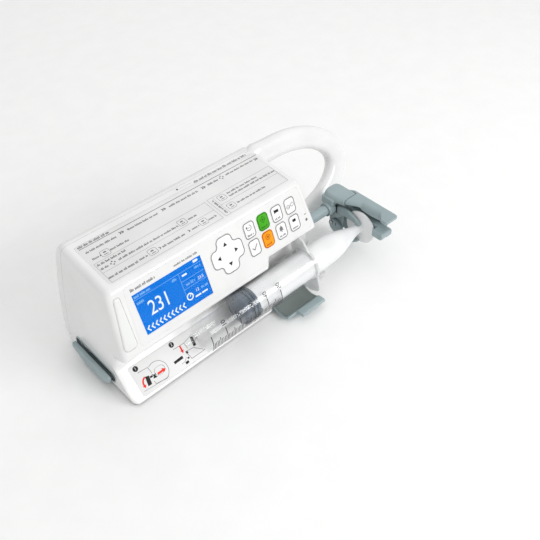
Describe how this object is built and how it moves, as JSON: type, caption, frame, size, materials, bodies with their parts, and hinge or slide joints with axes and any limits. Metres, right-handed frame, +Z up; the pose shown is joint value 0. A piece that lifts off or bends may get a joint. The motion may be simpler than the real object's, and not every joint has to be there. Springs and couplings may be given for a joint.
{
  "type": "syringe infusion pump",
  "caption": "Bench-top syringe infusion pump with a sloping control panel, a screen, keys, a carrying handle and a large syringe loaded in its cradle.",
  "frame": {"origin": "bottom centre of the whole pump, on the table it stands on", "axes": "+X along the syringe from its nozzle to its plunger, +Y from the front rim to the back, +Z up"},
  "size_m": [0.3072, 0.1298, 0.1019],
  "materials": {
    "white_case": "glossy warm white",
    "film": "printed film, satin",
    "grey_plastic": "fine-textured grey-blue",
    "key_white": "satin white",
    "key_green": "satin green",
    "key_orange": "satin orange",
    "screen": "lit blue screen",
    "window": "clear window",
    "clear_plastic": "clear moulded plastic",
    "milky_plastic": "translucent white",
    "lens": "frosted lens",
    "rubber": "dark rubber",
    "steel": "turned steel",
    "brass": "machined brass",
    "board": "circuit board",
    "black": "black moulding",
    "acetal": "natural acetal",
    "battery": "shrink-wrapped cells"
  },
  "bodies": {
    "pump_body": {"front_case": "white_case", "rear_case": "white_case", "base_cover": "white_case", "battery_door": "white_case", "carry_handle": "white_case", "front_overlay": "film", "top_label": "film", "cradle_label": "film", "display_window": "window", "lcd_module": "screen", "alarm_lamp": "lens", "foot_front_left": "rubber", "foot_front_right": "rubber", "foot_rear_left": "rubber", "foot_rear_right": "rubber", "battery_pack": "battery", "speaker": "black", "mains_inlet": "black", "data_port": "black", "rear_mount_pad": "grey_plastic", "main_board": "board", "key_board": "board", "drive_chassis": "steel", "stepper_motor": "black", "bearing_left": "steel", "bearing_right": "steel", "guide_rod": "steel", "tube_bush": "grey_plastic", "clamp_pin": "steel", "dock_lever_pin": "steel", "syringe_barrel": "clear_plastic"},
    "pusher": {"pusher_tube": "grey_plastic", "pusher_head": "grey_plastic", "carriage": "acetal", "nut_pin": "steel", "upper_claw_pin": "steel", "lower_claw_pin": "steel", "syringe_stopper": "rubber", "syringe_plunger": "milky_plastic"},
    "screw_shaft": {"lead_screw": "steel", "screw_gear": "acetal"},
    "motor_shaft": {"motor_gear": "brass"},
    "clutch": {"clutch_lever": "grey_plastic", "clutch_rod": "steel"},
    "upper_claw": {"upper_claw": "grey_plastic"},
    "lower_claw": {"lower_claw": "grey_plastic"},
    "half_nut": {"half_nut": "brass"},
    "clamp": {"barrel_clamp": "grey_plastic", "clamp_pad": "rubber"},
    "dock_lever": {"dock_lever": "grey_plastic"},
    "key_clear": {"key_clear": "key_white"},
    "key_start": {"key_start": "key_green"},
    "key_bolus": {"key_bolus": "key_white"},
    "key_power": {"key_power": "key_white"},
    "key_confirm": {"key_confirm": "key_white"},
    "key_stop": {"key_stop": "key_orange"},
    "key_silence": {"key_silence": "key_white"},
    "key_menu": {"key_menu": "key_white"},
    "arrow_pad": {"arrow_pad": "key_white"}
  },
  "joints": [
    {"name": "pusher_slide", "type": "slide", "parent": "pump_body", "child": "pusher", "axis": [1, 0, 0], "range_m": [-0.028, 0.049]},
    {"name": "screw_spin", "type": "hinge", "parent": "pump_body", "child": "screw_shaft", "pos_m": [-0.043, 0.019, 0.028], "axis": [1, 0, 0], "range_deg": [-5045, 8825]},
    {"name": "motor_spin", "type": "hinge", "parent": "pump_body", "child": "motor_shaft", "pos_m": [-0.127, 0.0281, 0.04376], "axis": [1, 0, 0], "range_deg": [-17650, 10090]},
    {"name": "clutch_turn", "type": "hinge", "parent": "pusher", "child": "clutch", "pos_m": [0.107, -0.0029, 0.03775], "axis": [1, 0, 0], "range_deg": [0, 7], "stiffness_Nm_per_rad": 0.5, "springref_deg": -2.86},
    {"name": "upper_claw_turn", "type": "hinge", "parent": "pusher", "child": "upper_claw", "pos_m": [0.1046, -0.0045, 0.0308], "axis": [-1, 0, 0], "range_deg": [0, 14.5]},
    {"name": "lower_claw_turn", "type": "hinge", "parent": "pusher", "child": "lower_claw", "pos_m": [0.1046, -0.0045, 0.0192], "axis": [1, 0, 0], "range_deg": [0, 14.5]},
    {"name": "half_nut_turn", "type": "hinge", "parent": "pusher", "child": "half_nut", "pos_m": [-0.043, 0.008, 0.0205], "axis": [-1, 0, 0], "range_deg": [0, 8.5]},
    {"name": "clamp_turn", "type": "hinge", "parent": "pump_body", "child": "clamp", "pos_m": [0.015, -0.03, 0.0068], "axis": [-1, 0, 0], "range_deg": [0, 33]},
    {"name": "dock_lever_turn", "type": "hinge", "parent": "pump_body", "child": "dock_lever", "pos_m": [-0.1445, 0.013, 0.0086], "axis": [0, -1, 0], "range_deg": [0, 20], "stiffness_Nm_per_rad": 0.5, "springref_deg": -2.86},
    {"name": "key_clear_press", "type": "slide", "parent": "pump_body", "child": "key_clear", "axis": [0, 0.9195, -0.393], "range_m": [0, 0.0005], "stiffness_N_per_m": 800, "springref_m": -0.0002},
    {"name": "key_start_press", "type": "slide", "parent": "pump_body", "child": "key_start", "axis": [0, 0.9195, -0.393], "range_m": [0, 0.0005], "stiffness_N_per_m": 800, "springref_m": -0.0002},
    {"name": "key_bolus_press", "type": "slide", "parent": "pump_body", "child": "key_bolus", "axis": [0, 0.9195, -0.393], "range_m": [0, 0.0005], "stiffness_N_per_m": 800, "springref_m": -0.0002},
    {"name": "key_power_press", "type": "slide", "parent": "pump_body", "child": "key_power", "axis": [0, 0.9195, -0.393], "range_m": [0, 0.0005], "stiffness_N_per_m": 800, "springref_m": -0.0002},
    {"name": "key_confirm_press", "type": "slide", "parent": "pump_body", "child": "key_confirm", "axis": [0, 0.9195, -0.393], "range_m": [0, 0.0005], "stiffness_N_per_m": 800, "springref_m": -0.0002},
    {"name": "key_stop_press", "type": "slide", "parent": "pump_body", "child": "key_stop", "axis": [0, 0.9195, -0.393], "range_m": [0, 0.0005], "stiffness_N_per_m": 800, "springref_m": -0.0002},
    {"name": "key_silence_press", "type": "slide", "parent": "pump_body", "child": "key_silence", "axis": [0, 0.9195, -0.393], "range_m": [0, 0.0005], "stiffness_N_per_m": 800, "springref_m": -0.0002},
    {"name": "key_menu_press", "type": "slide", "parent": "pump_body", "child": "key_menu", "axis": [0, 0.9195, -0.393], "range_m": [0, 0.0005], "stiffness_N_per_m": 800, "springref_m": -0.0002},
    {"name": "arrow_pad_press", "type": "slide", "parent": "pump_body", "child": "arrow_pad", "axis": [0, 0.9195, -0.393], "range_m": [0, 0.0005], "stiffness_N_per_m": 800, "springref_m": -0.0002}
  ],
  "couplings": [
    {"joint": "screw_spin", "follows": "pusher_slide", "rad_per_m": 3141.6},
    {"joint": "motor_spin", "follows": "pusher_slide", "rad_per_m": -6283.2},
    {"joint": "upper_claw_turn", "follows": "clutch_turn", "ratio": 2},
    {"joint": "lower_claw_turn", "follows": "clutch_turn", "ratio": 2},
    {"joint": "half_nut_turn", "follows": "clutch_turn", "ratio": 1.1429}
  ]
}
